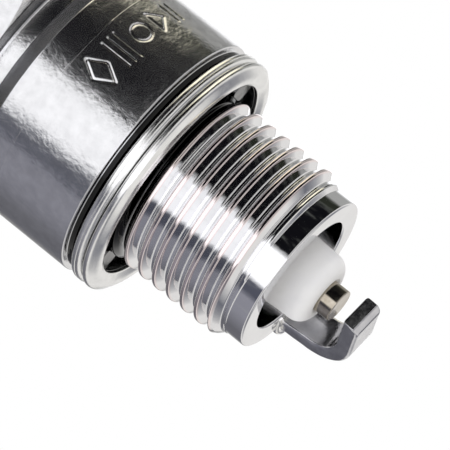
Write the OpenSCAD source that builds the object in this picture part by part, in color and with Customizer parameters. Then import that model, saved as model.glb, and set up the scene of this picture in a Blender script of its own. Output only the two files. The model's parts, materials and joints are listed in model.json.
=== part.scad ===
// Spark plug, 14 mm thread, flat seat with a captive folded gasket, removable terminal nut.
// Origin: on the plug's axis, in the plane of the gasket seat.
// +Z points along the axis to the terminal, so the thread and the electrodes are below zero.

/* [Thread and nose] */
// Radius over the crests of the M14 thread
thread_r = 6.88; // [6.86:0.01:6.96]
// Pitch of the M14 thread
thread_pitch = 1.25; // [1:0.25:1.25]
// Reach, from the gasket seat to the end of the shell
reach = 12.7; // [12.4:0.1:13.4]
// Radius of the plain nose below the thread
nose_r = 6.18; // [6.1:0.01:6.2]
// Radius of the shell's bore at the firing end
nose_bore_r = 4.52; // [4.3:0.02:4.7]

/* [Shell body] */
// Radius of the round barrel between the seat and the hexagon
barrel_r = 9.7; // [9.5:0.1:9.9]
// Height of the barrel's upper edge above the seat
barrel_top = 8.8; // [8.4:0.1:9.2]
// Width of the hexagon across its flats
hex_flats = 20.8; // [19:0.1:21]
// Height of the hexagon's lower face above the seat
hex_z = 11.4; // [11.2:0.1:11.8]
// Height of the hexagon
hex_h = 6.5; // [5.5:0.1:7]

/* [Insulator] */
// How far the insulator's nose stands out of the shell
nose_projection = 2.3; // [1.5:0.1:2.4]
// Radius of the insulator's nose at the shell's end
insulator_nose_r = 2.78; // [2.4:0.02:3]
// Height of the insulator's top above the seat
insulator_top = 42.2; // [41:0.1:44]
// Number of ribs that lengthen the surface against flashover
rib_count = 5; // [3:1:5]

/* [Electrodes] */
// Diameter of the centre electrode
centre_d = 2.5; // [2.3:0.1:2.6]
// How far the centre electrode stands out of the shell
centre_projection = 3.45; // [3:0.05:3.6]
// Gap between the electrodes
spark_gap = 1.2; // [0.7:0.1:1.3]
// Width of the ground electrode's strap
strap_w = 2.65; // [2.2:0.05:2.8]
// Thickness of the ground electrode's strap
strap_t = 1.3; // [1:0.05:1.4]

/* [Gasket] */
// Outer radius of the gasket
gasket_r = 9.72; // [9.5:0.01:9.8]
// Height of the loose, uncrushed gasket
gasket_h = 1.95; // [1.8:0.05:2]
// Free play of the gasket below the seat, where it hangs
gasket_play = 0.2; // [0.1:0.02:0.24]

/* [Terminal] */
// Diameter of the terminal nut's head
terminal_d = 6.35; // [6.2:0.05:6.5]
// Height of the terminal nut
nut_h = 7.75; // [7:0.05:8.5]
// Diameter over the terminal stud's M4 thread
stud_d = 3.96; // [3.9:0.02:4]

/* [Hidden] */
$fn = 64;
eps = 0.01;

// Shell, from the nose up
nose_len = 1.35;                           // plain cylinder between thread and end face
nose_chamfer = 0.18;
thread_depth = 0.64;
thread_root_w = 0.28;
flank_angle = 30;
thread_overcut = 0.07;                     // how far the groove's tool stands out of the crest
thread_edge = 0.12;
thread_runout = 0.85;                      // length over which the thread dies out at the nose
neck_r = 6.15;                             // relief between the seat and the thread
neck_fillet = 0.2;
thread_top = -1.4;                         // the gasket's tabs rest on this shoulder
thread_bottom = -reach + nose_len + thread_runout;
groove_top = -0.925;                       // the groove leaves the thread above its top shoulder
groove_turns = 8.5;
groove_segments = 30;
seat_r = 9.2;
barrel_edge_z = 0.45;
edge_chamfer_r = barrel_r - 0.25;
edge_chamfer_z = 0.2;
upper_edge = 0.15;
neck_above_r = 8.7;                        // heat-formed waist below the hexagon
waist_z = barrel_top + 1.2;
hex_top = hex_z + hex_h;
hex_chamfer_r = 10.3;
hex_bore_r = 8;                            // the hexagon is a ring round the turned body
collar_r = 8.3;
crimp_tube_r = 1.4;                        // outer rounding of the rolled lip
crimp_z = hex_top + 0.4;
lip_r = 5.5;
lip_t = 0.75;
lip_top = crimp_z + crimp_tube_r - 0.2;

// Shell, inside
ledge_r = 4.15;
ledge_bottom = -5.8;
ledge_run = 0.4;
ledge_top = -4.2;
seat_slope = 0.8;                          // rise of the inner seat per millimetre of radius
thread_bore_r = 5.15;
body_bore_r = 6.7;
body_step_z = 4.0;
bore_edge = 0.12;

// Insulator
insulator_gap = 0.1;
ledge_land_r = 4.04;
insulator_thread_r = thread_bore_r - insulator_gap;
flange_r = body_bore_r - insulator_gap;
flange_low = body_step_z + 0.15;
flange_top = 10.5;
insulator_neck_r = 5.2;
insulator_neck_z = 20.2;
insulator_body_r = 4.95;
nose_root_r = 3.75;
nose_root_run = 0.6;
nose_waist_r = 3.1;
nose_waist_z = -9.2;
washer_gap = 0.38;                         // thickness of the packing washer with its play
tip_round = 1.15;
tip_face_r = 1.55;
tip_taper = 0.06;
tip_mouth = 0.2;                           // widening of the bore where the electrode comes out
tip_mouth_depth = 0.15;
stud_bore_r = 2.0;
electrode_shoulder_z = -0.6;
rib_z = 27.4;
rib_pitch = 2.35;
rib_groove_r = 0.78;
rib_sink = 0.12;
rib_lead = 2.2;
insulator_top_r = 4.1;
top_edge = 0.3;
top_taper = 2.2;

// Electrodes
electrode_play = 0.02;
electrode_edge = 0.05;
shoulder_drop = 0.3;
electrode_head_r = 1.85;
electrode_head_top = 0.5;
core_r = 0.75;
core_cover = 2.2;                          // nickel left below the copper core
strap_r = (nose_bore_r + nose_r) / 2 + 0.05; // where the strap's middle stands on the nose face
strap_lean = 6.5;                          // lean of the leg towards the axis, degrees
bend_r = 3.1;                              // along the middle of the strap
arm_drop = 2.5;                            // fall of the arm towards its free end, degrees
strap_overhang = 1.25;                     // how far the arm runs past the axis
strap_bevel = 0.42;
strap_root = 0.35;                         // how far the leg is drawn up past the weld
bend_segments = 16;
weld_r = 0.32;
weld_drop = 0.14;
weld_len = 1;

// Gasket
bead_gap = 0.06;
bead_h = (gasket_h - bead_gap) / 2;
bead_round = bead_h / 2;
gasket_inner_r = 8.1;
gasket_bottom = -gasket_play - gasket_h;
sheet_gap = 0.16;
fold_depth = 1.2;
fold_bridge = 0.35;
tab_count = 4;
tab_w = 2.4;
tab_t = 0.36;
tab_r = 6.65;
tab_turn = -25.7;

// Terminal
stud_rod_r = 1.9;
stud_collar_r = 2.9;
stud_collar_h = 0.5;
stud_thread_h = 6.2;
stud_thread_depth = 0.4;
stud_root_w = 0.09;
stud_overcut = 0.03;
stud_pitch = 0.7;
stud_turns = 8.6;
stud_lead = 0.4;                           // how far the groove runs out past the stud's end
stud_segments = 24;
stud_foot_z = 5.0;
stud_foot_h = 3.7;
stud_foot_r = 1.55;
glass_top = 8.4;
nut_z = insulator_top + stud_collar_h + 0.03;
nut_bore_r = stud_d / 2 + 0.05;
nut_bore_h = 6.5;
nut_base_h = 1.5;
nut_waist_h = 2.3;
nut_waist_r = 2.55;
nut_edge = 0.5;
nut_rim = 0.2;
nut_shoulder = 0.6;
nut_drill_point = 0.8;

// Packing between the insulator's shoulder and the crimped lip
ring_tube_r = 0.7;
ring_r = (insulator_neck_r + body_bore_r) / 2;
lower_ring_z = flange_top + 1.66;          // resting on the cone above the insulator's flange
upper_ring_z = crimp_z - ring_tube_r - 0.02;
talc_play = 0.04;

// Height of the shell's inner conical seat at a radius
function seat_z(r) = ledge_top + seat_slope * (r - ledge_r);

// One cross-section of a helical groove: depth, width at the root and a flank on each side
function groove_ring(i, r, depth, root_w, out, pitch, z_low, segments) =
    let (a = 360 * i / segments,
         z = z_low + pitch * i / segments,
         r_in = r - depth,
         r_out = r + out,
         half_in = root_w / 2,
         half_out = half_in + (r_out - r_in) * tan(flank_angle))
    [[r_in * cos(a), r_in * sin(a), z - half_in], [r_out * cos(a), r_out * sin(a), z - half_out],
     [r_out * cos(a), r_out * sin(a), z + half_out], [r_in * cos(a), r_in * sin(a), z + half_in]];

// Right-hand helical groove that ends at z_high, to be cut out of a cylinder of radius r
module thread_groove(r, depth, root_w, out, pitch, z_high, turns, segments) {
    n = floor(segments * turns);
    points = [for (i = [0:n])
        each groove_ring(i, r, depth, root_w, out, pitch, z_high - pitch * turns, segments)];
    sides = [for (i = [0:n - 1], k = [0:3])
        let (a = 4 * i + k, b = 4 * i + (k + 1) % 4)
        each [[a, b, b + 4], [a, b + 4, a + 4]]];
    ends = [[0, 3, 2], [0, 2, 1], [4 * n, 4 * n + 1, 4 * n + 2], [4 * n, 4 * n + 2, 4 * n + 3]];
    polyhedron(points = points, faces = concat(sides, ends), convexity = 10);
}

// Hexagon with chamfered corners, above and below
module hexagon() {
    corner_r = hex_flats / 2 / cos(30);
    rise = (corner_r - hex_chamfer_r) * tan(30);
    intersection() {
        translate([0, 0, hex_z]) rotate(30) cylinder(r = corner_r, h = hex_h, $fn = 6);
        rotate_extrude()
        polygon([[0, hex_z], [hex_chamfer_r, hex_z], [corner_r + eps, hex_z + rise],
                 [corner_r + eps, hex_top - rise], [hex_chamfer_r, hex_top], [0, hex_top]]);
    }
}

// Outside of the turned shell with its rolled lip, as half a section
module shell_section() {
    difference() {
        union() {
            polygon([[0, -reach], [nose_r - nose_chamfer, -reach], [nose_r, -reach + nose_chamfer],
                     [nose_r, -reach + nose_len], [thread_r, thread_bottom],
                     [thread_r, thread_top - thread_edge], [thread_r - thread_edge, thread_top],
                     [neck_r, thread_top], [neck_r, -neck_fillet], [neck_r + neck_fillet, 0],
                     [seat_r, 0], [edge_chamfer_r, edge_chamfer_z], [barrel_r, barrel_edge_z],
                     [barrel_r, barrel_top - upper_edge], [barrel_r - upper_edge, barrel_top],
                     [neck_above_r, waist_z], [neck_above_r, hex_z + eps], [collar_r, hex_top - eps],
                     [collar_r, crimp_z], [0, crimp_z]]);
            intersection() {
                translate([collar_r - crimp_tube_r, crimp_z]) circle(r = crimp_tube_r);
                translate([collar_r - crimp_tube_r, crimp_z - eps]) square(2 * crimp_tube_r);
            }
            polygon([[0, crimp_z - eps], [collar_r - crimp_tube_r + eps, crimp_z - eps],
                     [collar_r - crimp_tube_r + eps, crimp_z + crimp_tube_r],
                     [lip_r, lip_top], [0, lip_top]]);
        }
        shell_bore_section();
    }
}

// Inside of the shell: firing bore, ledge, inner seat, body bore and the hollow under the lip
module shell_bore_section() {
    polygon([[-1, -reach - 1], [nose_bore_r + bore_edge, -reach - 1],
             [nose_bore_r + bore_edge, -reach], [nose_bore_r, -reach + bore_edge],
             [nose_bore_r, ledge_bottom - ledge_run], [ledge_r, ledge_bottom],
             [ledge_r, ledge_top], [thread_bore_r, seat_z(thread_bore_r)],
             [thread_bore_r, body_step_z - (body_bore_r - thread_bore_r)],
             [body_bore_r, body_step_z], [body_bore_r, crimp_z],
             [lip_r, lip_top - lip_t], [lip_r, lip_top + 1], [-1, lip_top + 1]]);
}

module shell() {
    color("silver")
    difference() {
        union() {
            rotate_extrude() shell_section();
            difference() {
                hexagon();
                translate([0, 0, hex_z - 1]) cylinder(r = hex_bore_r, h = hex_h + 2);
            }
        }
        thread_groove(thread_r, thread_depth, thread_root_w, thread_overcut, thread_pitch,
                      groove_top, groove_turns, groove_segments);
    }
}

// One rounded fold of the gasket's sheet, with its outer edge at the gasket's radius
module gasket_bead(z) {
    translate([gasket_inner_r, z]) square([gasket_r - gasket_inner_r - bead_round, bead_h]);
    translate([gasket_r - bead_round, z + bead_h / 2]) circle(r = bead_round);
}

module gasket_section() {
    upper_z = gasket_bottom + bead_h + bead_gap;
    difference() {
        union() {
            gasket_bead(gasket_bottom);
            gasket_bead(upper_z);
            translate([gasket_inner_r, gasket_bottom + bead_h - eps])
            square([fold_bridge, bead_gap + 2 * eps]);
        }
        for (z = [gasket_bottom, upper_z])
            translate([gasket_inner_r - eps, z + (bead_h - sheet_gap) / 2])
            square([fold_depth + eps, sheet_gap]);
    }
}

// Ring folded from one strip of sheet, with crimped tabs that hold it on behind the thread
module gasket() {
    tab_z = gasket_bottom + bead_h + (bead_gap - tab_t) / 2;
    color("gainsboro") {
        rotate_extrude() gasket_section();
        intersection() {
            translate([0, 0, tab_z]) difference() {
                cylinder(r = gasket_inner_r + fold_bridge / 2, h = tab_t);
                translate([0, 0, -1]) cylinder(r = tab_r, h = tab_t + 2);
            }
            for (i = [0:tab_count - 1])
                rotate(tab_turn + 360 * i / tab_count)
                translate([0, -tab_w / 2, tab_z - 1]) cube([gasket_r, tab_w, tab_t + 2]);
        }
    }
}

// Points along an arc round the origin, from one angle to another
function arc(r, from, to) =
    [for (i = [0:bend_segments]) let (a = from + (to - from) * i / bend_segments) [r * cos(a), r * sin(a)]];

// A point turned round the origin
function turned(p, a) = [p[0] * cos(a) - p[1] * sin(a), p[0] * sin(a) + p[1] * cos(a)];

// Side view of the bent strap: x is the distance from the axis, y is the height
module strap_profile() {
    inner = bend_r - strap_t / 2;
    outer = bend_r + strap_t / 2;
    // Height on the axis of a line parallel to the arm through the centre of the bend
    centre_z = -reach - centre_projection - spark_gap - strap_t / 2 + bend_r / cos(arm_drop);
    rise = -reach - centre_z + bend_r * sin(strap_lean);
    bend_x = (strap_r - bend_r * cos(strap_lean) - tan(strap_lean) * rise)
             / (1 - tan(strap_lean) * tan(arm_drop));
    bend_z = centre_z + bend_x * tan(arm_drop);
    leg = strap_root + (-reach - bend_z + bend_r * sin(strap_lean)) / cos(strap_lean);
    arm = (bend_x + bend_r * sin(arm_drop) + strap_overhang) / cos(arm_drop);
    leg_end = [for (x = [inner, outer]) turned([x, leg], -strap_lean)];
    arm_end = [for (p = [[strap_bevel - arm, -outer], [-arm, strap_bevel - outer], [-arm, -inner]])
        turned(p, arm_drop)];
    translate([bend_x, bend_z])
    polygon(concat(leg_end, arc(outer, -strap_lean, arm_drop - 90), arm_end,
                   arc(inner, arm_drop - 90, -strap_lean)));
}

// J-shaped strap, welded to the shell's end face on the +Y side
module ground_electrode() {
    color("dimgray")
    difference() {
        union() {
            translate([strap_w / 2, 0, 0]) rotate([90, 0, -90]) mirror([1, 0, 0])
            linear_extrude(strap_w) strap_profile();
            // Flash of the weld along both edges of the strap
            for (side = [-1, 1])
                translate([side * strap_w / 2, strap_r, -reach - weld_drop]) rotate([90, 0, 0])
                cylinder(r = weld_r, h = weld_len, center = true);
        }
        translate([-10, -10, -reach]) cube(20);
    }
}

// Half section of the insulator, with its bore and the grooves between its ribs
module insulator_section() {
    tip_z = -reach - nose_projection;
    mouth_r = centre_d / 2 + tip_mouth;
    difference() {
        union() {
            polygon([[0, tip_z], [tip_face_r, tip_z], [insulator_nose_r - tip_taper, tip_z + tip_round],
                     [insulator_nose_r, -reach], [nose_waist_r, nose_waist_z],
                     [nose_root_r, ledge_bottom - nose_root_run], [ledge_land_r, ledge_bottom],
                     [ledge_land_r, seat_z(ledge_land_r) + washer_gap],
                     [insulator_thread_r, seat_z(insulator_thread_r) + washer_gap],
                     [insulator_thread_r, flange_low - flange_r + insulator_thread_r],
                     [flange_r, flange_low], [flange_r, flange_top],
                     [insulator_neck_r, flange_top + flange_r - insulator_neck_r],
                     [insulator_neck_r, insulator_neck_z], [insulator_body_r, rib_z - rib_lead],
                     [insulator_body_r, rib_z + rib_count * rib_pitch],
                     [insulator_top_r + top_edge, insulator_top - top_taper],
                     [insulator_top_r, insulator_top - top_edge],
                     [insulator_top_r - top_edge, insulator_top], [0, insulator_top]]);
            intersection() {
                translate([insulator_nose_r - tip_taper - tip_round, tip_z + tip_round])
                circle(r = tip_round);
                translate([0, tip_z]) square([insulator_nose_r, tip_round]);
            }
        }
        polygon([[-1, tip_z - 1], [mouth_r, tip_z - 1], [mouth_r, tip_z],
                 [centre_d / 2 + electrode_play, tip_z + tip_mouth_depth],
                 [centre_d / 2 + electrode_play, electrode_shoulder_z - shoulder_drop],
                 [stud_bore_r, electrode_shoulder_z], [stud_bore_r, insulator_top + 1],
                 [-1, insulator_top + 1]]);
        for (i = [0:rib_count - 1])
            translate([insulator_body_r + rib_sink, rib_z + i * rib_pitch]) circle(r = rib_groove_r);
    }
}

module insulator() {
    color("white") rotate_extrude() insulator_section();
}

module centre_electrode() {
    tip_z = -reach - centre_projection;
    color("tan")
    rotate_extrude()
    polygon([[0, tip_z], [centre_d / 2 - electrode_edge, tip_z],
             [centre_d / 2, tip_z + electrode_edge],
             [centre_d / 2, electrode_shoulder_z - shoulder_drop + electrode_play],
             [electrode_head_r, electrode_shoulder_z + electrode_play],
             [electrode_head_r, electrode_head_top], [core_r + electrode_play, electrode_head_top],
             [core_r + electrode_play, tip_z + core_cover], [0, tip_z + core_cover]]);
}

module copper_core() {
    low = -reach - centre_projection + core_cover + eps;
    color("peru")
    translate([0, 0, low]) cylinder(r = core_r, h = electrode_head_top - low);
}

module glass_seal() {
    low = electrode_head_top + electrode_play;
    color("saddlebrown")
    difference() {
        translate([0, 0, low]) cylinder(r = stud_bore_r - electrode_play, h = glass_top - low);
        translate([0, 0, stud_foot_z - electrode_play])
        cylinder(r = stud_foot_r + electrode_play, h = glass_top);
    }
}

module terminal_stud() {
    collar_top = insulator_top + stud_collar_h;
    color("lightgray")
    difference() {
        union() {
            translate([0, 0, stud_foot_z]) cylinder(r = stud_foot_r, h = stud_foot_h);
            translate([0, 0, glass_top + electrode_play])
            cylinder(r = stud_rod_r, h = insulator_top - glass_top);
            translate([0, 0, insulator_top + eps]) cylinder(r = stud_collar_r, h = stud_collar_h - eps);
            translate([0, 0, insulator_top]) cylinder(r = stud_d / 2, h = stud_collar_h + stud_thread_h);
        }
        thread_groove(stud_d / 2, stud_thread_depth, stud_root_w, stud_overcut, stud_pitch,
                      collar_top + stud_thread_h + stud_lead, stud_turns, stud_segments);
    }
}

module terminal_nut() {
    r = terminal_d / 2;
    waist_low = nut_z + nut_base_h;
    waist_high = waist_low + nut_waist_h;
    top = nut_z + nut_h;
    color("silver")
    rotate_extrude()
    polygon([[nut_bore_r, nut_z], [r - nut_rim, nut_z], [r, nut_z + nut_rim],
             [r, waist_low - nut_shoulder / 2], [nut_waist_r, waist_low + nut_shoulder / 2],
             [nut_waist_r, waist_high - nut_shoulder], [r, waist_high],
             [r, top - nut_edge], [r - nut_edge, top], [0, top],
             [0, nut_z + nut_bore_h + nut_drill_point], [nut_bore_r, nut_z + nut_bore_h]]);
}

// Thin packing between the shell's inner seat and the insulator's shoulder
module seat_washer() {
    inner = ledge_r + 0.05;
    outer = thread_bore_r - 0.05;
    play = 0.01;
    color("darkgray")
    rotate_extrude()
    polygon([[inner, seat_z(inner) + play], [outer, seat_z(outer) + play],
             [outer, seat_z(outer) + washer_gap - play], [inner, seat_z(inner) + washer_gap - play]]);
}

module packing_ring(z) {
    color("slategray")
    rotate_extrude() translate([ring_r, z]) circle(r = ring_tube_r);
}

module lower_packing_ring() {
    packing_ring(lower_ring_z);
}

module upper_packing_ring() {
    packing_ring(upper_ring_z);
}

module talc_packing() {
    low = lower_ring_z + ring_tube_r + talc_play;
    high = upper_ring_z - ring_tube_r - talc_play;
    color("beige")
    translate([0, 0, low]) difference() {
        cylinder(r = body_bore_r - talc_play, h = high - low);
        translate([0, 0, -1]) cylinder(r = insulator_neck_r + talc_play, h = high - low + 2);
    }
}

shell();
gasket();
ground_electrode();
insulator();
centre_electrode();
copper_core();
glass_seal();
terminal_stud();
terminal_nut();
seat_washer();
lower_packing_ring();
talc_packing();
upper_packing_ring();
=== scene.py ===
"""Looks of a 14 mm spark plug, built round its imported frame. Profiles are in millimetres."""
import json
import math

import bmesh
import bpy
from mathutils import Matrix, Vector, noise


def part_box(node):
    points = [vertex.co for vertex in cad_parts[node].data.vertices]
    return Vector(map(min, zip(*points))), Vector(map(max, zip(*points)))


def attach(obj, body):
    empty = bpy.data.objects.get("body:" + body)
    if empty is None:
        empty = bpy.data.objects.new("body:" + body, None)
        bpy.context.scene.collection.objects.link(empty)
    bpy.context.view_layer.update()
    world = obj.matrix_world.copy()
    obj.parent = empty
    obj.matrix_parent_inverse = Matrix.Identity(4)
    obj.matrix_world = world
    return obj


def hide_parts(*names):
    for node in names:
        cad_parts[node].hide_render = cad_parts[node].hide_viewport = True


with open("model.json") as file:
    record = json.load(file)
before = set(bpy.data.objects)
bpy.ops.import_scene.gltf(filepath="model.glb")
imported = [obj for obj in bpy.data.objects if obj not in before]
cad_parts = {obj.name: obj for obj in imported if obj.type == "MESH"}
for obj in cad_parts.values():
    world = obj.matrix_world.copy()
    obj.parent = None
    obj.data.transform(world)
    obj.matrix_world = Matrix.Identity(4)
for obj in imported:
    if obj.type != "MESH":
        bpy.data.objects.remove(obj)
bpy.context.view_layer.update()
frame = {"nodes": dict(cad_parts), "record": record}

MM = 0.001


def mount(name):
    """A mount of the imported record."""
    return next(m for m in frame["record"]["mounts"] if m["name"] == name)


def low(node):
    """A node's lowest corner, in millimetres."""
    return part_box(node)[0] / MM


def high(node):
    """A node's highest corner, in millimetres."""
    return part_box(node)[1] / MM


# ---------------------------------------------------------------- sizes

# Shell, outside
NOSE_Z = low("shell").z                              # end face of the shell
NOSE_R = 6.18
BORE_R = 4.52
THREAD_R = 6.88
THREAD_PITCH = 1.25
THREAD_DEPTH = 0.64
THREAD_LOW = NOSE_Z + 1.45                           # where the thread has died out
THREAD_RUNOUT = 1.05
THREAD_TOP = -1.4
CREST_Z = -2.175                                     # height of a crest at azimuth 0
NECK_R = 6.15
SEAT_R = 9.2
BARREL_R = 9.7
BARREL_LOW = 0.45
BARREL_TOP = 8.8
WAIST_R = 8.7
WAIST_Z = BARREL_TOP + 1.2
HEX_R = mount("hex_flat")["pos_m"][0] / MM           # from the axis to a flat
HEX_LOW = 11.4
HEX_TOP = HEX_LOW + 6.5
HEX_CHAMFER_R = 10.3
COLLAR_R = 8.3
LIP_R = 5.5
LIP_TOP = high("shell").z

# Shell, inside
CAVITY_R = 6.7                                       # round the talc
CAVITY_Z = 4.0
WELL_R = 5.15                                        # round the insulator's middle
WELL_Z = 2.45
STEP_R = 4.15                                        # under the insulator's shoulder

# Insulator and electrodes
INSULATOR_TIP = low("insulator").z
INSULATOR_TOP = high("insulator").z
INSULATOR_R = 2.78
TIP_Z = low("centre_electrode").z
ELECTRODE_R = 1.25
STRAP_W = 2.65
STRAP_T = 1.3
STRAP_BEVEL = 0.42                                   # at the free end
STRAP_END = low("ground_electrode").y                # free end of the arm
STRAP_BEND = 3.1
STRAP_LEAN = math.radians(6.5)
ARM_DROP = math.radians(2.5)
STRAP_R = (BORE_R + NOSE_R) / 2 + 0.05
STRAP_FACE = TIP_Z - 1.2                             # the arm's inner face on the axis

# Gasket
GASKET_LOW = low("gasket").z
GASKET_TOP = high("gasket").z
GASKET_R = high("gasket").x
GASKET_INNER_R = 8.1


# ---------------------------------------------------------------- camera

VIEW_TILT = math.radians(13.5)       # the camera looks up at the plug from below its equator
VIEW_AZIMUTH = math.radians(-25.7)   # direction on the plug that points across the picture
VIEW_SKEW = math.radians(0.58)
VIEW_ROLL = math.radians(39.3)       # the plug's axis falls to the right
CAMERA_AZIMUTH = VIEW_AZIMUTH - math.pi / 2          # from the plug towards the camera
VIEW_DISTANCE = 0.3447
LENS = 400
AIM_ALONG = 0.00616                  # the picture's centre, from the plug's origin
AIM_ACROSS = -0.000465


def make_camera():
    """Long lens, close up on the threaded end, with the plug's axis running down to the right."""
    down = Vector((0, 0, -1))
    across = Vector((math.cos(VIEW_AZIMUTH), math.sin(VIEW_AZIMUTH), 0))
    away = down.cross(across) * -1
    forward = away * math.cos(VIEW_TILT) - down * math.sin(VIEW_TILT)
    level = down * math.cos(VIEW_TILT) + away * math.sin(VIEW_TILT)
    along = level * math.cos(VIEW_SKEW) - across * math.sin(VIEW_SKEW)
    side = level * math.sin(VIEW_SKEW) + across * math.cos(VIEW_SKEW)
    right = along * math.cos(VIEW_ROLL) + side * math.sin(VIEW_ROLL)
    up = side * math.cos(VIEW_ROLL) - along * math.sin(VIEW_ROLL)
    data = bpy.data.cameras.new("camera")
    data.lens = LENS
    data.sensor_width = 36
    data.clip_start = 0.01
    data.clip_end = 50
    camera = bpy.data.objects.new("camera", data)
    bpy.context.scene.collection.objects.link(camera)
    axes = Matrix((right, up, -forward)).transposed()
    place = along * AIM_ALONG + side * AIM_ACROSS - forward * VIEW_DISTANCE
    camera.matrix_world = Matrix.Translation(place) @ axes.to_4x4()
    bpy.context.scene.camera = camera


# ---------------------------------------------------------------- mesh tools

def rounded(corners, step=15):
    """A polyline through (x, y, fillet radius) corners, with the fillets as arcs."""
    path = []
    for i, (x, y, radius) in enumerate(corners):
        p = Vector((x, y))
        if radius == 0 or i in (0, len(corners) - 1):
            path.append(p)
            continue
        before = (Vector(corners[i - 1][:2]) - p).normalized()
        after = (Vector(corners[i + 1][:2]) - p).normalized()
        turn = math.pi - before.angle(after)
        cut = radius * math.tan(turn / 2)
        centre = p + (before + after).normalized() * radius / math.cos(turn / 2)
        start = p + before * cut - centre
        end = p + after * cut - centre
        n = max(2, math.ceil(math.degrees(turn) / step - 0.05))
        for k in range(n + 1):
            t = k / n
            path.append(centre + (start * math.sin((1 - t) * turn) + end * math.sin(t * turn))
                        / math.sin(turn))
    return path


def even_columns(count):
    """Azimuths in degrees, all round."""
    return [360 * i / count for i in range(count)]


class Skin:
    """Vertices and faces of one closed piece, collected from rings and threads."""

    def __init__(self, columns):
        self.columns = columns
        self.turn = [(math.cos(math.radians(a)), math.sin(math.radians(a))) for a in columns]
        self.verts = []
        self.faces = []

    def rings(self, rows):
        """Rows of (r, z), one per column, or one (r, z) for the whole row."""
        n = len(self.columns)
        first = len(self.verts)
        for row in rows:
            for i, (c, s) in enumerate(self.turn):
                r, z = row if isinstance(row, Vector) else row[i]
                self.verts.append((r * c, r * s, z))
        for j in range(len(rows) - 1):
            a = first + j * n
            for i in range(n):
                k = (i + 1) % n
                self.faces.append((a + i, a + k, a + n + k, a + n + i))

    def thread(self, radius_at, z_low, z_high, pitch, crest_z, offsets):
        """Rows that follow a right-hand thread. What lies past an end is drawn onto that end."""
        n, per_turn = len(self.columns), len(offsets)
        turns_below = math.ceil((crest_z - z_low) / pitch) + 1
        start = crest_z - pitch * turns_below
        turns = math.ceil((z_high - start) / pitch)
        rows = turns * per_turn + 1
        first = len(self.verts)
        for a, (c, s) in zip(self.columns, self.turn):
            for k in range(rows):
                z = start + pitch * (k // per_turn + offsets[k % per_turn] + a / 360)
                z = min(max(z, z_low), z_high)
                r = radius_at(z, a)
                self.verts.append((r * c, r * s, z))
        for i in range(n):
            here = first + i * rows
            last = i == n - 1
            there = first if last else here + rows
            shift = per_turn if last else 0
            for k in range(rows - 1 - shift):
                a, b = here + k, there + k + shift
                self.faces.append((a, b, b + 1, a + 1))

    def solid(self, verts, faces):
        """A closed solid of its own, such as a tab."""
        first = len(self.verts)
        self.verts += verts
        self.faces += [tuple(first + k for k in face) for face in faces]


WELD_MM = 0.0002                     # vertices closer than this become one


def make_piece(name, verts, faces, body, nodes, look):
    """One smooth mesh object, welded, riding its body and standing for its CAD nodes."""
    mesh = bpy.data.meshes.new(name)
    mesh.from_pydata([(x * MM, y * MM, z * MM) for x, y, z in verts], [], faces)
    work = bmesh.new()
    work.from_mesh(mesh)
    bmesh.ops.remove_doubles(work, verts=work.verts, dist=WELD_MM * MM)
    for face in work.faces:
        face.smooth = True
    work.to_mesh(mesh)
    work.free()
    piece = bpy.data.objects.new(name, mesh)
    bpy.context.scene.collection.objects.link(piece)
    piece.data.materials.append(look)
    weighted = piece.modifiers.new("weighted", "WEIGHTED_NORMAL")
    weighted.keep_sharp = True
    weighted.weight = 80
    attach(piece, body)
    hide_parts(*nodes)
    return piece


def thread_form(pitch, depth, crest, root_fillet, crest_fillet):
    """Half of one thread, as (distance from the crest's middle, depth) points."""
    flank = depth * math.tan(math.radians(30))
    corners = [(0, 0, 0), (crest, 0, crest_fillet), (crest + flank, depth, root_fillet),
               (pitch / 2, depth, 0)]
    return rounded(corners, 20)


def thread_offsets(form, pitch):
    """Row places within one pitch, from one crest to the next."""
    half = [p.x / pitch for p in form]
    return half + [1 - p for p in reversed(half[1:-1])]


def thread_depth_at(form, pitch, distance):
    """Depth of the groove at a distance along the axis from a crest."""
    d = abs((distance + pitch / 2) % pitch - pitch / 2)
    for p, q in zip(form, form[1:]):
        if d <= q.x:
            return p.y + (q.y - p.y) * (d - p.x) / max(q.x - p.x, 1e-9)
    return form[-1].y


# ---------------------------------------------------------------- shell

MARK_START = -108                    # azimuths between which the barrel's mesh is fine
MARK_END = -51.8
MARK_LOW = 3.0                       # and heights
MARK_HIGH = 7.0
MARK_CELL = 0.085                    # size of the fine mesh's cells
MARK_X = -106.5                      # azimuth and height of the first mark's lower corner
MARK_Z = 3.45
MARK_STROKE = 0.11                   # half width of a stroke
MARK_DEPTH = 0.08
COLUMN_STEP = 2                      # degrees between the columns elsewhere
CORNER_STEPS = (0, 0.25, 0.5, 0.8, 1.1)              # extra columns beside the hexagon's corners


def shell_columns():
    """Azimuths of the shell's mesh: fine at the stamped marks and at the hexagon's corners."""
    fine = math.degrees(MARK_CELL / BARREL_R)
    count = round((MARK_END - MARK_START) / fine)
    azimuths = {round((MARK_START + fine * i) % 360, 4) for i in range(count + 1)}
    fine_start, fine_end = (MARK_START - 0.5) % 360, (MARK_END + 0.5) % 360
    azimuths |= {a for a in range(0, 360, COLUMN_STEP) if not fine_start < a < fine_end}
    for corner in range(30, 360, 60):
        azimuths |= {(corner + side * x) % 360 for side in (-1, 1) for x in CORNER_STEPS}
    ordered = sorted(azimuths)
    return [a for a, b in zip(ordered, ordered[1:] + [ordered[0] + 360]) if b - a > 0.06]


def distance_to_line(p, a, b):
    """Distance from a point to a stroke between two points."""
    p, a, b = Vector(p), Vector(a), Vector(b)
    t = max(0, min(1, (p - a).dot(b - a) / (b - a).length_squared))
    return (p - a - (b - a) * t).length


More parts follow.
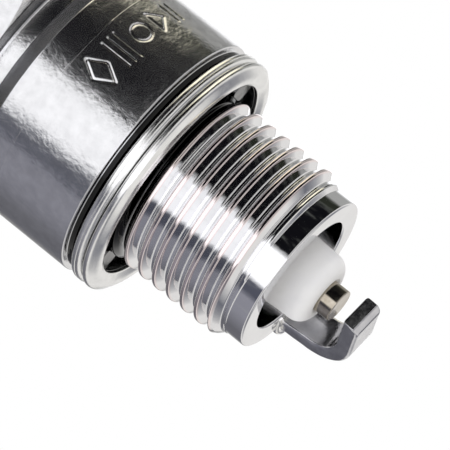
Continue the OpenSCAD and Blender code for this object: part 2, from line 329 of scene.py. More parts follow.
def mark_strokes():
    """Generic marks stamped on the barrel, as strokes in (along the circumference, height)."""
    def outline(points):
        return list(zip(points, points[1:] + points[:1]))

    def ring(x, y, r, n):
        turns = [2 * math.pi / n * i for i in range(n)]
        return outline([(x + r * math.cos(a), y + r * math.sin(a)) for a in turns])

    strokes = outline([(0.8, 0), (1.6, 1.35), (0.8, 2.7), (0, 1.35)])             # lozenge
    strokes += [((x, 0.1), (x, 2.6)) for x in (2.4, 3.0, 3.6)]                    # three bars
    strokes += ring(5.1, 1.35, 0.75, 14)                                          # ring
    strokes += outline([(6.6, 0.4), (7.7, 1.35), (6.6, 2.3)])                     # wedge
    strokes += [((x, 0.5), (x, 2.2)) for x in (8.5, 9.1)]                         # two short bars
    return strokes


def barrel_rows():
    """The barrel, with the stamped marks pressed into it."""
    count = round((MARK_HIGH - MARK_LOW) / MARK_CELL)
    heights = [MARK_LOW + (MARK_HIGH - MARK_LOW) * j / count for j in range(count + 1)]
    strokes = mark_strokes()
    rows = []
    for z in heights:
        row = []
        for a in SHELL_COLUMNS:
            x = ((a - MARK_X + 180) % 360 - 180) * math.radians(1) * BARREL_R
            y = z - MARK_Z
            near = MARK_STROKE
            if -0.2 < x < 10.2 and -0.2 < y < 3.3:
                near = min(distance_to_line((x, y), p, q) for p, q in strokes)
            press = max(0, 1 - near / MARK_STROKE)
            row.append((BARREL_R - MARK_DEPTH * press * press * (3 - 2 * press), z))
        rows.append(row)
    return rows


def hex_radius(azimuth):
    """Distance from the axis to the side of the hexagon, its upright edges slightly rounded."""
    edge = 0.3
    a = math.radians((azimuth + 30) % 60 - 30)       # from the middle of a flat
    flat = HEX_R / math.cos(a)
    corner = HEX_R / math.cos(math.radians(30))
    b = math.radians(30) - abs(a)                    # from the nearest corner
    centre = corner - edge / math.cos(math.radians(30))
    inside = edge ** 2 - (centre * math.sin(b)) ** 2
    if inside <= 0:
        return flat
    return min(flat, centre * math.cos(b) + math.sqrt(inside))


def hexagon_column(azimuth):
    """Outline of the hexagon and the crimped collar at one azimuth."""
    r = hex_radius(azimuth)
    rise = (r - HEX_CHAMFER_R) * math.tan(math.radians(30))
    return rounded([(WAIST_R, WAIST_Z + 0.3, 0), (WAIST_R, HEX_LOW, 0.25),
                    (HEX_CHAMFER_R, HEX_LOW, 0.1),
                    (r, HEX_LOW + rise, 0.11), (r, HEX_TOP - rise, 0.11),
                    (HEX_CHAMFER_R, HEX_TOP, 0.1), (COLLAR_R, HEX_TOP, 0.2),
                    (COLLAR_R, LIP_TOP, 1.3), (LIP_R, LIP_TOP - 0.15, 0.25),
                    (LIP_R, LIP_TOP - 0.95, 0)])


def thread_radius(z, azimuth):
    """Radius of the threaded stretch, with its run-out at the nose and its chamfer at the top."""
    deep = thread_depth_at(THREAD_FORM, THREAD_PITCH, z - CREST_Z - THREAD_PITCH * azimuth / 360)
    runout = NOSE_R + (THREAD_R - NOSE_R) * (z - THREAD_LOW) / THREAD_RUNOUT
    top = THREAD_R - 0.12 + (THREAD_TOP - z)
    return max(min(THREAD_R - deep, runout, top), min(NOSE_R, runout))


def make_shell(look):
    """The turned, threaded, hexagonal and crimped body, as one closed mesh."""
    # a short ring before the thread, so that the nose's shading is not drawn into it
    nose_top = THREAD_LOW - 0.05
    skin = Skin(SHELL_COLUMNS)
    skin.rings(rounded([(BORE_R, NOSE_Z + 0.6, 0), (BORE_R, NOSE_Z, 0.12), (NOSE_R, NOSE_Z, 0.16),
                        (NOSE_R, nose_top, 0)]))
    skin.rings([Vector((NOSE_R, nose_top)), Vector((NOSE_R, THREAD_LOW))])
    skin.thread(thread_radius, THREAD_LOW, THREAD_TOP, THREAD_PITCH, CREST_Z,
                thread_offsets(THREAD_FORM, THREAD_PITCH))
    skin.rings([[(thread_radius(THREAD_TOP, a), THREAD_TOP) for a in SHELL_COLUMNS],
                Vector((NECK_R, THREAD_TOP))])
    skin.rings(rounded([(NECK_R, THREAD_TOP, 0), (NECK_R, 0, 0.2), (SEAT_R, 0, 0.05),
                        (SEAT_R + 0.1, BARREL_LOW - 0.06, 0.03), (BARREL_R, BARREL_LOW, 0.13),
                        (BARREL_R, MARK_LOW, 0)]))
    skin.rings(barrel_rows())
    skin.rings(rounded([(BARREL_R, MARK_HIGH, 0), (BARREL_R, BARREL_TOP, 0.22),
                        (WAIST_R, WAIST_Z, 0.25), (WAIST_R, WAIST_Z + 0.3, 0)]))
    columns = [hexagon_column(a) for a in SHELL_COLUMNS]
    skin.rings([[column[j] for column in columns] for j in range(len(columns[0]))])
    skin.rings(rounded([(LIP_R, LIP_TOP - 0.95, 0), (CAVITY_R, LIP_TOP - 1.4, 0),
                        (CAVITY_R, CAVITY_Z, 0), (WELL_R, WELL_Z, 0), (WELL_R, -3.4, 0),
                        (STEP_R, -4.2, 0), (STEP_R, -5.8, 0.1), (BORE_R, -6.2, 0.1),
                        (BORE_R, NOSE_Z + 0.6, 0)]))
    return make_piece("shell_body", skin.verts, skin.faces, "plug", ["shell"], look)


# ---------------------------------------------------------------- gasket

def gasket_tab(azimuth):
    """One crimped tongue that reaches inwards over the thread: a rounded plate."""
    inner, outer, half, thick, edge = 6.68, GASKET_INNER_R + 0.15, 1.2, 0.36, 0.06
    z = (GASKET_LOW + GASKET_TOP) / 2 - 0.18
    outline = rounded([(outer, -half, 0), (inner, -half, 0.4), (inner, half, 0.4),
                       (outer, half, 0)], 22)
    turn = Matrix.Rotation(math.radians(azimuth), 3, "Z")
    layers = [(edge, 0), (0, edge), (0, thick - edge), (edge, thick)]
    verts = []
    for inset, rise in layers:
        for p in outline:
            x = p.x + (inset if p.x < outer else 0)
            y = p.y * (1 - inset / half)
            verts.append(tuple(turn @ Vector((x, y, z + rise))))
    n = len(outline)
    faces = [tuple(range(n)), tuple(reversed(range(3 * n, 4 * n)))]
    for j in range(3):
        for i in range(n):
            k = (i + 1) % n
            faces.append((j * n + k, j * n + i, j * n + n + i, j * n + n + k))
    return verts, faces


def make_gasket(look):
    """Ring folded from one strip of sheet: two beads, the seam between them and four tabs."""
    height = GASKET_TOP - GASKET_LOW
    seam = 0.05
    bead = (height - seam) / 2
    mid = GASKET_LOW + bead
    inner, fold, slot = GASKET_INNER_R, GASKET_R - 0.42, 0.05
    corners = [(inner, GASKET_LOW + 0.45, 0), (inner, GASKET_LOW + 0.22, 0.2),
               (inner + 0.45, GASKET_LOW, 0.6), (GASKET_R - 0.62, GASKET_LOW, 0.8),
               (GASKET_R, GASKET_LOW + 0.42, 0.35), (GASKET_R, mid, 0.33),
               (inner + 0.35, mid, 0.01), (inner + 0.35, mid + seam, 0.01),
               (GASKET_R, mid + seam, 0.36),
               (GASKET_R, mid + seam + bead * 0.5 - 0.04, 0.03),
               (GASKET_R - 0.04, mid + seam + bead * 0.5, 0.02),
               (GASKET_R, mid + seam + bead * 0.5 + 0.04, 0.03),
               (GASKET_R, GASKET_TOP, 0.36), (inner, GASKET_TOP, 0.16)]
    for z in (GASKET_TOP - bead / 2, GASKET_LOW + bead / 2):
        corners += [(inner, z + slot, 0.04), (fold, z + slot, 0), (fold, z - slot, 0),
                    (inner, z - slot, 0.04)]
    corners.append((inner, GASKET_LOW + 0.45, 0))
    skin = Skin(even_columns(320))
    skin.rings(rounded(corners, 12))
    for k in range(4):
        skin.solid(*gasket_tab(math.degrees(VIEW_AZIMUTH) + 90 * k))
    return make_piece("folded_gasket", skin.verts, skin.faces, "gasket",
                      ["gasket"], look)


# ---------------------------------------------------------------- electrodes

STRAP_STEPS = (STRAP_BEVEL, 0.3, 0.2, 0.1, 0.04, 0)  # stations before the free end


def strap_path():
    """Middle line of the strap in (distance from the axis, height), with its outward normals."""
    centre_z = STRAP_FACE - STRAP_T / 2 + STRAP_BEND / math.cos(ARM_DROP)
    rise = NOSE_Z - centre_z + STRAP_BEND * math.sin(STRAP_LEAN)
    x = ((STRAP_R - STRAP_BEND * math.cos(STRAP_LEAN) - math.tan(STRAP_LEAN) * rise)
         / (1 - math.tan(STRAP_LEAN) * math.tan(ARM_DROP)))
    centre = Vector((x, centre_z + x * math.tan(ARM_DROP)))
    leg = (NOSE_Z - centre.y + STRAP_BEND * math.sin(STRAP_LEAN)) / math.cos(STRAP_LEAN)
    leg_way = Vector((math.sin(STRAP_LEAN), math.cos(STRAP_LEAN)))
    leg_out = Vector((math.cos(STRAP_LEAN), -math.sin(STRAP_LEAN)))
    arm_way = Vector((-math.cos(ARM_DROP), -math.sin(ARM_DROP)))
    arm_out = Vector((math.sin(ARM_DROP), -math.cos(ARM_DROP)))
    path = []
    for k in range(9):
        path.append((centre + leg_out * STRAP_BEND + leg_way * (leg + 0.3) * (1 - k / 8), leg_out))
    for k in range(1, 28):
        a = -STRAP_LEAN + (ARM_DROP - math.pi / 2 + STRAP_LEAN) * k / 28
        out = Vector((math.cos(a), math.sin(a)))
        path.append((centre + out * STRAP_BEND, out))
    start = centre + arm_out * STRAP_BEND
    arm = (start.x - STRAP_END) / math.cos(ARM_DROP) - STRAP_T / 2 * math.tan(ARM_DROP)
    for along in [arm * k / 8 for k in range(7)] + [arm - left for left in STRAP_STEPS]:
        path.append((start + arm_way * along, arm_out))
    return path


def make_ground_electrode(look):
    """The bent strap with its rolled edges and bevelled end, and the flash of its weld."""
    section = rounded([(0, -STRAP_T / 2, 0), (STRAP_W / 2, -STRAP_T / 2, 0.24),
                       (STRAP_W / 2, STRAP_T / 2, 0.24), (-STRAP_W / 2, STRAP_T / 2, 0.24),
                       (-STRAP_W / 2, -STRAP_T / 2, 0.24), (0, -STRAP_T / 2, 0)], 18)[:-1]
    path = strap_path()
    n = len(section)
    verts, faces = [], []
    stations = len(path)
    for j, (p, out) in enumerate(path):
        left = (path[-1][0] - p).length if j >= stations - len(STRAP_STEPS) else STRAP_BEVEL
        limit = STRAP_T / 2 - max(0, STRAP_BEVEL - left)
        tight = 0.04 if j == stations - 1 else 0
        for q in section:
            thick = min(q.y, limit - tight)
            thick = max(thick, tight - STRAP_T / 2)
            wide = max(min(q.x, STRAP_W / 2 - tight), tight - STRAP_W / 2)
            place = p + out * thick
            swell = 0.012 * noise.noise(Vector((wide, place.x, place.y)) * 1.6)
            verts.append((wide * (1 + swell), place.x, place.y + swell * out.y))
    for j in range(stations - 1):
        for i in range(n):
            k = (i + 1) % n
            faces.append((j * n + i, j * n + n + i, j * n + n + k, j * n + k))
    faces.append(tuple(range(n)))
    faces.append(tuple(reversed(range((stations - 1) * n, stations * n))))
    skin = Skin([])
    skin.solid(verts, [tuple(reversed(f)) for f in faces])
    skin.solid(*weld_flash())
    return make_piece("ground_strap", skin.verts, skin.faces, "plug",
                      ["ground_electrode"], look)


def weld_flash():
    """Uneven bead squeezed out round the root of the strap."""
    outline = rounded([(0, -STRAP_T / 2, 0), (STRAP_W / 2, -STRAP_T / 2, 0.3),
                       (STRAP_W / 2, STRAP_T / 2, 0.3), (-STRAP_W / 2, STRAP_T / 2, 0.3),
                       (-STRAP_W / 2, -STRAP_T / 2, 0.3), (0, -STRAP_T / 2, 0)], 10)[:-1]
    dense = []
    for p, q in zip(outline, outline[1:] + outline[:1]):
        steps = max(1, round((q - p).length / 0.09))
        dense += [p.lerp(q, k / steps) for k in range(steps)]
    n, around = len(dense), 14
    verts = []
    # a small loop of the outline's points, swelling into a bead at the corner that the camera sees
    for i, p in enumerate(dense):
        along = (dense[(i + 1) % n] - dense[i - 1]).normalized()
        out = Vector((along.y, -along.x))
        lump = noise.noise(Vector((p.x * 2.1, p.y * 2.1, 3.7)))
        fine = noise.noise(Vector((p.x * 7, p.y * 7, 9.1)))
        near = max(0, 1 - (p - Vector((-STRAP_W / 2, STRAP_T / 2))).length / 0.75)
        size = 0.15 + 0.05 * lump + 0.04 * fine + 0.38 * near
        for k in range(around):
            a = 2 * math.pi * k / around
            ripple = 1 + 0.18 * noise.noise(Vector((p.x * 5, p.y * 5, a)))
            x = p.x + out.x * (size * math.cos(a) * ripple + 0.05)
            y = STRAP_R + p.y + out.y * (size * math.cos(a) * ripple + 0.05)
            verts.append((x, y, NOSE_Z + size * 1.15 * math.sin(a) * ripple))
    faces = []
    for i in range(n):
        for k in range(around):
            a, b = i * around, (i + 1) % n * around
            m = (k + 1) % around
            faces.append((a + k, a + m, b + m, b + k))
    return verts, faces


def make_centre_electrode(look):
    """Turned nickel pin with a head in the insulator and a hollow for its copper core."""
    head_r, head_top, core_r, core_low = 1.85, high("centre_electrode").z, 0.77, TIP_Z + 2.2
    cone_low, cone_top = -0.88, -0.58
    skin = Skin(even_columns(128))
    skin.rings(rounded([(0, TIP_Z + 0.015, 0), (ELECTRODE_R * 0.6, TIP_Z + 0.01, 0),
                        (ELECTRODE_R, TIP_Z, 0.07), (ELECTRODE_R, cone_low, 0.1),
                        (head_r, cone_top, 0), (head_r, head_top, 0.1), (core_r, head_top, 0),
                        (core_r, core_low, 0), (0, core_low, 0)]))
    return make_piece("centre_pin", skin.verts, skin.faces, "plug",
                      ["centre_electrode"], look)


# ---------------------------------------------------------------- insulator

def make_insulator(look):
    """Fired alumina body: slim nose, thick middle, ribbed and glazed top."""
    tip, top = INSULATOR_TIP, INSULATOR_TOP
    bore, stud_bore = ELECTRODE_R + 0.02, 2.0
    shoulder, well, cavity = STEP_R - 0.11, WELL_R - 0.1, CAVITY_R - 0.1
    neck, body = 5.2, 4.95
    corners = [(bore, tip + 0.5, 0), (bore, tip + 0.15, 0.05), (bore + 0.2, tip, 0.04),
               (INSULATOR_R - 0.06, tip, 1.12), (INSULATOR_R, NOSE_Z, 3), (3.1, -9.2, 4),
               (3.75, -6.4, 1), (shoulder, -5.8, 0.1), (shoulder, -3.91, 0.1),
               (well, -3.1, 0.1), (well, 2.6, 0.4), (cavity, 4.15, 0.4), (cavity, 10.5, 0.3),
               (neck, 11.9, 0.3), (neck, 20.2, 1.5), (body, 24.6, 0.3)]
    for k in range(5):
        z, groove = 27.4 + 2.35 * k, body - 0.66
        corners += [(body, z - 0.78, 0.3), (groove, z - 0.3, 0.32), (groove, z + 0.3, 0.32),
                    (body, z + 0.78, 0.3)]
    corners += [(body, 39.3, 0.6), (4.4, top - 2.2, 0.8), (4.1, top, 0.35), (stud_bore, top, 0.1),
                (stud_bore, -0.6, 0), (bore, -0.9, 0), (bore, tip + 0.5, 0)]
    skin = Skin(even_columns(224))
    skin.rings(rounded(corners, 9))
    return make_piece("insulator_body", skin.verts, skin.faces, "plug",
                      ["insulator"], look)


# ---------------------------------------------------------------- terminal

STUD_R = 1.98
STUD_PITCH = 0.7
STUD_DEPTH = 0.4
STUD_THREAD_LOW = INSULATOR_TOP + 0.5
STUD_TOP = high("terminal_stud").z
STUD_ROOT_R = STUD_R - 0.35                          # where the thread begins


def stud_radius(z, azimuth):
    """Radius of the stud's M4 thread, with a chamfer at its end."""
    deep = thread_depth_at(STUD_FORM, STUD_PITCH, z - STUD_PITCH * azimuth / 360)
    chamfer = STUD_R - 0.45 + (STUD_TOP - z)
    start = STUD_ROOT_R + abs(z - STUD_THREAD_LOW) * 2
    return min(STUD_R - deep, chamfer, max(start, STUD_R - STUD_DEPTH))


def make_terminal_stud(look):
    """Rod sealed into the insulator, with a collar and a threaded end."""
    foot, glass, top = low("terminal_stud").z, 8.42, STUD_TOP
    skin = Skin(even_columns(120))
    skin.rings(rounded([(0, foot, 0), (1.55, foot, 0.15), (1.55, glass, 0), (1.9, glass, 0.1),
                        (1.9, INSULATOR_TOP + 0.01, 0), (2.9, INSULATOR_TOP + 0.01, 0.08),
                        (2.9, STUD_THREAD_LOW, 0.12), (STUD_ROOT_R, STUD_THREAD_LOW, 0)]))
    skin.thread(stud_radius, STUD_THREAD_LOW, top, STUD_PITCH, 0,
                thread_offsets(STUD_FORM, STUD_PITCH))
    skin.rings([[(stud_radius(top, a), top) for a in skin.columns], Vector((0, top))])
    skin.rings([[(stud_radius(STUD_THREAD_LOW, a), STUD_THREAD_LOW) for a in skin.columns],
                Vector((STUD_ROOT_R, STUD_THREAD_LOW))])
    return make_piece("stud_rod", skin.verts, skin.faces, "plug",
                      ["terminal_stud"], look)


def make_terminal_nut(look):
    """Screw-on terminal with the waist that a cap's spring clips into."""
    r, z, top = high("terminal_nut").x, low("terminal_nut").z, high("terminal_nut").z
    bore = STUD_R + 0.05
    skin = Skin(even_columns(160))
    skin.rings(rounded([(bore, z + 1, 0), (bore, z, 0.15), (r, z, 0.2), (r, z + 1.25, 0.15),
                        (2.55, z + 1.8, 0.5), (2.55, z + 3.2, 0.5), (r, z + 3.8, 0.2),
                        (r, top, 0.55), (0, top, 0)], 9))
    skin.rings(rounded([(0, z + 7.3, 0), (bore, z + 6.5, 0.1), (bore, z + 1, 0)]))
    return make_piece("nut_body", skin.verts, skin.faces, "terminal_nut",
                      ["terminal_nut"], look)


# ---------------------------------------------------------------- materials

class Graph:
    """A node tree, with short calls for its nodes."""

    def __init__(self, tree):
        self.tree = tree

    def node(self, kind, **settings):
        made = self.tree.nodes.new(kind)
        for key, value in settings.items():
            setattr(made, key, value)
        return made

    def link(self, source, target):
        self.tree.links.new(source, target)

    def compute(self, operation, *values):
        """Arithmetic on sockets and plain numbers."""
        made = self.node("ShaderNodeMath", operation=operation)
        for socket, value in zip(made.inputs, values):
            if isinstance(value, (int, float)):
                socket.default_value = value
            else:
                self.link(value, socket)
        return made.outputs["Value"]

    def spread(self, value, low_out, high_out, low_in=0.3, high_in=0.7, curve="LINEAR"):
        """A value mapped from one range to another, and clamped."""
        made = self.node("ShaderNodeMapRange", interpolation_type=curve)
        made.inputs["From Min"].default_value = low_in
        made.inputs["From Max"].default_value = high_in
        made.inputs["To Min"].default_value = low_out
        made.inputs["To Max"].default_value = high_out
        self.link(value, made.inputs["Value"])
        return made.outputs["Result"]

    def band(self, value, start, end, soft):
        """One between start and end, rising over a soft edge and falling sharply."""
        return self.compute("MULTIPLY", self.spread(value, 0, 1, start - soft, start),
                            self.spread(value, 1, 0, end, end + 0.04))

    def mix(self, factor, first, second):
        """A colour between two colours."""
        made = self.node("ShaderNodeMix", data_type="RGBA")
        self.link(factor, made.inputs["Factor"])
        for socket, colour in ((made.inputs["A"], first), (made.inputs["B"], second)):
            if isinstance(colour, tuple):
                socket.default_value = (*colour, 1)
            else:
                self.link(colour, socket)
        return made.outputs["Result"]

    def bearing(self, place):
        """Angle of a place round the plug's axis, from the camera's side, in radians."""
        turned = self.node("ShaderNodeVectorRotate", rotation_type="Z_AXIS")
        turned.inputs["Angle"].default_value = -CAMERA_AZIMUTH
        self.link(place, turned.inputs["Vector"])
        split = self.node("ShaderNodeSeparateXYZ")
        self.link(turned.outputs["Vector"], split.inputs["Vector"])
        return self.compute("ARCTAN2", split.outputs["Y"], split.outputs["X"])

    def height(self, place):
        """A place's or a direction's Z."""
        split = self.node("ShaderNodeSeparateXYZ")
        self.link(place, split.inputs["Vector"])
        return split.outputs["Z"]


class Look(Graph):
    """A material with one Principled shader."""

    def __init__(self, name, colour, metallic, roughness):
        self.material = bpy.data.materials.new(name)
        self.material.use_nodes = True
        super().__init__(self.material.node_tree)
        self.shader = self.tree.nodes["Principled BSDF"]
        self.shader.inputs["Base Color"].default_value = (*colour, 1)
        self.shader.inputs["Metallic"].default_value = metallic
        self.shader.inputs["Roughness"].default_value = roughness
        self.place = self.node("ShaderNodeTexCoord").outputs["Object"]
        self.relief = None

    def noise(self, size_mm, detail=3, stretch=(1, 1, 1)):
        """Noise whose features are about size_mm across."""
        turn = self.node("ShaderNodeMapping")
        turn.inputs["Scale"].default_value = stretch
        self.link(self.place, turn.inputs["Vector"])
        made = self.node("ShaderNodeTexNoise")
        made.inputs["Scale"].default_value = 1 / (size_mm * MM)
        made.inputs["Detail"].default_value = detail
        self.link(turn.outputs["Vector"], made.inputs["Vector"])
        return made.outputs["Fac"]

    def two_tone(self, size_mm, detail, first, second):
        """Two shades, blended by noise."""
        return self.mix(self.spread(self.noise(size_mm, detail), 0, 1), first, second)

    def colour(self, socket):
        self.link(socket, self.shader.inputs["Base Color"])

    def roughness(self, socket):
        self.link(socket, self.shader.inputs["Roughness"])

    def bump(self, height, microns):
        """Relief added to the surface, the white of the height that many microns up."""
        made = self.node("ShaderNodeBump")
        made.inputs["Strength"].default_value = 1
        made.inputs["Distance"].default_value = microns * MM / 1000
        self.link(height, made.inputs["Height"])
        if self.relief:
            self.link(self.relief, made.inputs["Normal"])
        self.relief = made.outputs["Normal"]
        self.link(self.relief, self.shader.inputs["Normal"])

    def from_axis(self):
        """Distance from the plug's axis, in millimetres."""
        flat = self.node("ShaderNodeVectorMath", operation="MULTIPLY")
        self.link(self.place, flat.inputs[0])
        flat.inputs[1].default_value = (1 / MM, 1 / MM, 0)
        length = self.node("ShaderNodeVectorMath", operation="LENGTH")
        self.link(flat.outputs["Vector"], length.inputs[0])
        return length.outputs["Value"]

    def along_axis(self):
        """Height along the plug's axis, in millimetres."""
        return self.compute("MULTIPLY", self.height(self.place), 1 / MM)


HAIRLINE_Z = 6.76                    # a fine line round the barrel
RECESS_Z = (-1.9, 0.33)              # the stretch behind the gasket that is painted dark as shade
GLAZE_Z = 17                         # where the insulator's glaze begins


def nickel_look():
    """Bright nickel plate: mirror-like on the thread, its crests a little worn, orange peel on the
    barrel, painted near black as shade in the recess behind the gasket and under the hexagon."""
    look = Look("nickel_plate", (0.8, 0.8, 0.81), 1, 0.1)
    height = look.along_axis()
    barrel = look.spread(height, 0, 1, 0.2, 0.6)
    # painted shade: the recess behind the gasket and the step under the hexagon are darkened in the
    # colour
    under_hex = look.band(height, HEX_LOW - 0.06, HEX_LOW + 0.03, 0.02)
    painted_shade = look.compute("MAXIMUM", look.band(height, *RECESS_Z, 0.5),
                        look.spread(under_hex, 0, 0.8, 0, 1))
    peel = look.spread(barrel, 0.15, 1, 0, 1)
    look.bump(look.compute("MULTIPLY", look.noise(0.26, 4), peel), 14)
    look.bump(look.compute("MULTIPLY", look.noise(1.3, 2), barrel), 40)
    look.bump(look.band(height, HAIRLINE_Z - 0.02, HAIRLINE_Z + 0.02, 0.04), 5)
    look.roughness(look.spread(barrel, 0.05, 0.2, 0, 1))
    bright = look.two_tone(2.5, 2, (0.77, 0.77, 0.78), (0.84, 0.84, 0.85))
    dimmer = look.two_tone(0.8, 3, (0.63, 0.63, 0.64), (0.73, 0.73, 0.74))
    plate = look.mix(barrel, bright, dimmer)
    near_crest = look.spread(look.from_axis(), 0, 1, THREAD_R - 0.16, THREAD_R - 0.06)
    crest = look.compute("MULTIPLY", near_crest, look.band(height, NOSE_Z, THREAD_TOP, 0.1))
    plate = look.mix(crest, plate, (0.84, 0.75, 0.74))
    # the painted shade turns the plate near black in those places
    look.colour(look.mix(painted_shade, plate, (0.02, 0.02, 0.02)))
    return look.material


def gasket_look():
    """Bright plated sheet with fine rolling lines round the ring; painted shade in its inner fold.
    """
    look = Look("plated_sheet", (0.86, 0.85, 0.83), 1, 0.16)
    look.bump(look.noise(0.25, 3, (1, 1, 3)), 4)
    look.roughness(look.spread(look.noise(0.8, 3), 0.12, 0.26))
    plate = look.two_tone(1.5, 2, (0.80, 0.80, 0.79), (0.90, 0.90, 0.89))
    # painted shade: the inner fold near the bore is darkened in the colour, from about -1.8 mm up
    near_bore = look.spread(look.from_axis(), 1, 0, GASKET_INNER_R + 0.02, GASKET_INNER_R + 0.2)
    fold = look.compute("MULTIPLY", near_bore, look.spread(look.along_axis(), 0, 1, -1.8, -1.6))
    look.colour(look.mix(fold, plate, (0.12, 0.12, 0.12)))
    return look.material


def strap_look():
    """Rolled nickel alloy: grey, satin, with drawing lines and a few darker patches."""
    look = Look("rolled_nickel_alloy", (0.5, 0.5, 0.53), 1, 0.25)
    look.bump(look.noise(0.16, 4, (1, 0.35, 0.35)), 5)
    look.bump(look.noise(0.7, 3), 12)
    look.roughness(look.spread(look.noise(0.5, 3), 0.1, 0.22))
    rolled = look.two_tone(0.9, 3, (0.5, 0.5, 0.53), (0.68, 0.68, 0.7))
    weld = look.band(look.along_axis(), NOSE_Z - 0.3, NOSE_Z + 1, 0.15)
    look.colour(look.mix(weld, rolled, (0.82, 0.81, 0.79)))
    return look.material


def pin_look():
    """Turned nickel alloy of the centre electrode."""
    look = Look("turned_nickel_alloy", (0.5, 0.47, 0.42), 1, 0.2)
    look.bump(look.noise(0.1, 3, (0.3, 0.3, 3)), 2)
    look.roughness(look.spread(look.noise(0.5, 2), 0.08, 0.18))
    look.colour(look.two_tone(0.6, 3, (0.4, 0.355, 0.285), (0.55, 0.505, 0.43)))
    return look.material


def alumina_look():
    """White alumina: matt and fine-grained at the nose, glazed above the shell."""
    look = Look("white_alumina", (0.92, 0.92, 0.91), 0, 0.5)
    glaze = look.spread(look.along_axis(), 0, 1, GLAZE_Z, GLAZE_Z + 1)
    look.roughness(look.spread(glaze, 0.55, 0.07, 0, 1))
    grain = look.spread(glaze, 1, 0.1, 0, 1)
    look.bump(look.compute("MULTIPLY", look.noise(0.12, 4), grain), 3)
    fired = look.two_tone(1.2, 3, (0.86, 0.86, 0.87), (0.9, 0.9, 0.9))
    look.colour(look.mix(glaze, fired, (0.7, 0.7, 0.69)))
    return look.material


def plain_look(name, first, second, metallic, rough, size_mm, microns):
    """Material of a hidden piece: two shades, a grain and a relief."""
    look = Look(name, first, metallic, rough)
    look.colour(look.two_tone(size_mm, 4, first, second))
    look.roughness(look.spread(look.noise(size_mm * 2, 3), rough * 0.8, min(1, rough * 1.25)))
    look.bump(look.noise(size_mm / 2, 4), microns)
    return look.material


def dress_hidden_nodes():
    """The sealed inner pieces keep their CAD meshes."""
    copper = plain_look("drawn_copper", (0.78, 0.42, 0.28), (0.88, 0.52, 0.36), 1, 0.3, 0.4, 3)
    seal = plain_look("fused_seal", (0.12, 0.07, 0.05), (0.35, 0.2, 0.13), 0.2, 0.5, 0.3, 20)
    steel = plain_look("soft_steel", (0.42, 0.42, 0.43), (0.55, 0.55, 0.56), 1, 0.4, 0.5, 4)
    talc = plain_look("pressed_talc", (0.8, 0.77, 0.68), (0.92, 0.9, 0.83), 0, 0.9, 0.25, 25)
    looks = {"copper_core": copper, "glass_seal": seal, "seat_washer": steel,
             "lower_packing_ring": steel, "talc_packing": talc, "upper_packing_ring": steel}
    for node, look in looks.items():
        for slot in frame["nodes"][node].material_slots:
            slot.material = look


# ---------------------------------------------------------------- studio

FLOOR_Z = -0.12
FLOOR_HALF = 6

WHITE = (1.35, 1.35, 1.37)
CREAM = (1.5, 1.4, 1.1)
PALE = (0.4, 0.4, 0.39)
BLACK = (0.006, 0.006, 0.008)
OLIVE = (0.027, 0.03, 0.023)
SAND = (0.8, 0.76, 0.6)
SLATE = (0.095, 0.1, 0.13)
LAVENDER = (0.3, 0.3, 0.345)
DUSK = (0.16, 0.16, 0.18)

# The panels and flags round the plug, as (degrees from the camera's side, colour), at three heights
LEVEL = [(-180, WHITE), (-168, PALE), (-155, DUSK), (-130, DUSK), (-95, LAVENDER), (-68, LAVENDER),
         (-60, SLATE), (-46, SLATE), (-39, WHITE), (4, WHITE), (11, BLACK), (96, BLACK),
         (102, OLIVE), (116, OLIVE), (122, PALE), (150, PALE), (164, WHITE), (180, WHITE)]
MIDDLE = [(-180, PALE), (-155, DUSK), (-130, DUSK), (-95, LAVENDER), (-68, LAVENDER), (-60, SLATE),
          (-46, SLATE), (-39, WHITE), (4, WHITE), (11, BLACK), (90, BLACK), (98, SAND),
          (124, SAND), (134, BLACK), (145, BLACK), (158, PALE), (180, PALE)]
HIGH_UP = [(-180, WHITE), (-165, PALE), (-150, DUSK), (-110, DUSK), (-80, LAVENDER), (-62, DUSK),
           (-48, SLATE), (-42, WHITE), (10, WHITE), (20, BLACK), (72, BLACK), (80, CREAM),
           (132, CREAM), (140, PALE), (160, WHITE), (180, WHITE)]


def panels(graph, bearing, stops):
    """Colours at angles from the camera's side."""
    made = graph.node("ShaderNodeValToRGB")
    points = made.color_ramp.elements
    points[0].position = 0
    points[1].position = 1
    for k, (angle, colour) in enumerate(stops):
        place = (angle + 180) / 360
        point = points[0] if k == 0 else points[-1] if k == len(stops) - 1 else points.new(place)
        point.position = place
        point.color = (*colour, 1)
    graph.link(bearing, made.inputs["Fac"])
    return made.outputs["Color"]


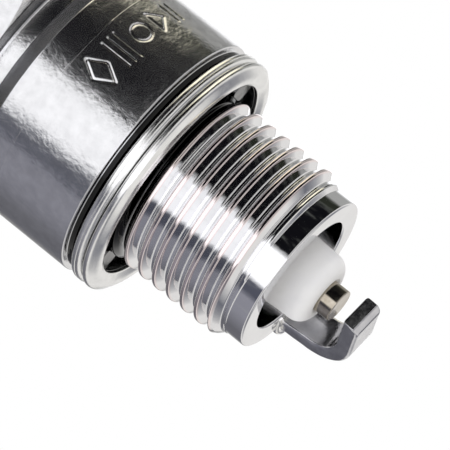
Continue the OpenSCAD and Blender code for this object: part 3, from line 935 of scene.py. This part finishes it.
def make_studio():
    """What the plating mirrors: a white tent with dark flags. The camera sees plain white, and
    matt surfaces get an even white light."""
    world = bpy.data.worlds.new("studio")
    bpy.context.scene.world = world
    world.use_nodes = True
    graph = Graph(world.node_tree)
    graph.tree.nodes.clear()
    way = graph.node("ShaderNodeTexCoord").outputs["Generated"]
    bearing = graph.compute("ADD", graph.compute("DIVIDE", graph.bearing(way), 2 * math.pi), 0.5)
    rise = graph.compute("MULTIPLY", graph.compute("ARCSINE", graph.height(way)), 180 / math.pi)

    def blend(value, start, end, first, second):
        return graph.mix(graph.spread(value, 0, 1, start, end, "SMOOTHSTEP"), first, second)

    shade = blend(rise, 16, 18, panels(graph, bearing, LEVEL), panels(graph, bearing, MIDDLE))
    shade = blend(rise, 23, 27, shade, panels(graph, bearing, HIGH_UP))
    shade = blend(rise, 58, 72, shade, (0.07, 0.07, 0.075))
    clutter = graph.node("ShaderNodeTexNoise")
    clutter.inputs["Scale"].default_value = 7
    graph.link(way, clutter.inputs["Vector"])
    shade = blend(clutter.outputs["Fac"], 0.5, 1.4, shade, (0.5, 0.52, 0.48))
    paths = graph.node("ShaderNodeLightPath")
    mirrored = graph.node("ShaderNodeBackground")
    graph.link(graph.mix(paths.outputs["Is Diffuse Ray"], shade, (1.25, 1.25, 1.3)),
               mirrored.inputs["Color"])
    seen = graph.node("ShaderNodeBackground")
    seen.inputs["Color"].default_value = (1, 1, 1, 1)
    pick = graph.node("ShaderNodeMixShader")
    graph.link(paths.outputs["Is Camera Ray"], pick.inputs["Fac"])
    graph.link(mirrored.outputs["Background"], pick.inputs[1])
    graph.link(seen.outputs["Background"], pick.inputs[2])
    out = graph.node("ShaderNodeOutputWorld")
    graph.link(pick.outputs["Shader"], out.inputs["Surface"])
    bpy.context.scene.view_settings.view_transform = "Standard"


def floor_look():
    """Pale paper, plain to the camera and to matt surfaces. In mirror rays only, it carries a
    painted shade ring round the plug and a painted white light patch towards the camera."""
    look = Look("pale_floor", (0.6, 0.59, 0.56), 0, 0.8)
    glossy = look.node("ShaderNodeLightPath").outputs["Is Glossy Ray"]
    distance = look.from_axis()
    # painted shade seen only in mirrors: a dark ring round the plug
    ring = look.compute("MULTIPLY", look.spread(distance, 0, 1, 60, 120),
                        look.spread(distance, 1, 0, 120, 330))
    # painted light seen only in mirrors: a white patch on the floor towards the camera
    painted_card_light = look.compute("MULTIPLY", look.band(look.bearing(look.place), -0.68, 0.1, 0.08),
                        look.spread(distance, 0, 1, 25, 40))
    paper = look.mix(look.compute("MULTIPLY", ring, glossy), (0.6, 0.59, 0.56),
                     (0.11, 0.115, 0.135))
    look.colour(look.mix(look.compute("MULTIPLY", painted_card_light, glossy), paper, (0.97, 0.97, 0.98)))
    return look.material


def make_floor():
    """Pale floor well below the plug and camera; mirrors show painted shade and light on it."""
    corners = [(x * FLOOR_HALF, y * FLOOR_HALF, FLOOR_Z)
               for x, y in ((-1, -1), (1, -1), (1, 1), (-1, 1))]
    mesh = bpy.data.meshes.new("floor")
    mesh.from_pydata(corners, [], [(0, 1, 2, 3)])
    mesh.materials.append(floor_look())
    floor = bpy.data.objects.new("floor", mesh)
    bpy.context.scene.collection.objects.link(floor)


def make_soft_top():
    """A broad soft light from above, which shows in no mirror."""
    data = bpy.data.lights.new("soft_top", "AREA")
    data.shape = "DISK"
    data.size = 1.6
    data.energy = 8
    light = bpy.data.objects.new("soft_top", data)
    light.location = (0.2, 0.6, 1.6)
    light.rotation_euler = Vector(light.location).to_track_quat("Z", "Y").to_euler()
    light.visible_glossy = False
    light.visible_camera = False
    bpy.context.scene.collection.objects.link(light)


# ---------------------------------------------------------------- build

THREAD_FORM = thread_form(THREAD_PITCH, THREAD_DEPTH, crest=0.13, root_fillet=0.15,
                          crest_fillet=0.12)
STUD_FORM = thread_form(STUD_PITCH, STUD_DEPTH, crest=0.06, root_fillet=0.08, crest_fillet=0.03)
SHELL_COLUMNS = shell_columns()

make_camera()
make_studio()
make_floor()
make_soft_top()
nickel = nickel_look()
make_shell(nickel)
make_gasket(gasket_look())
make_ground_electrode(strap_look())
make_centre_electrode(pin_look())
make_insulator(alumina_look())
make_terminal_stud(nickel)
make_terminal_nut(nickel)
dress_hidden_nodes()
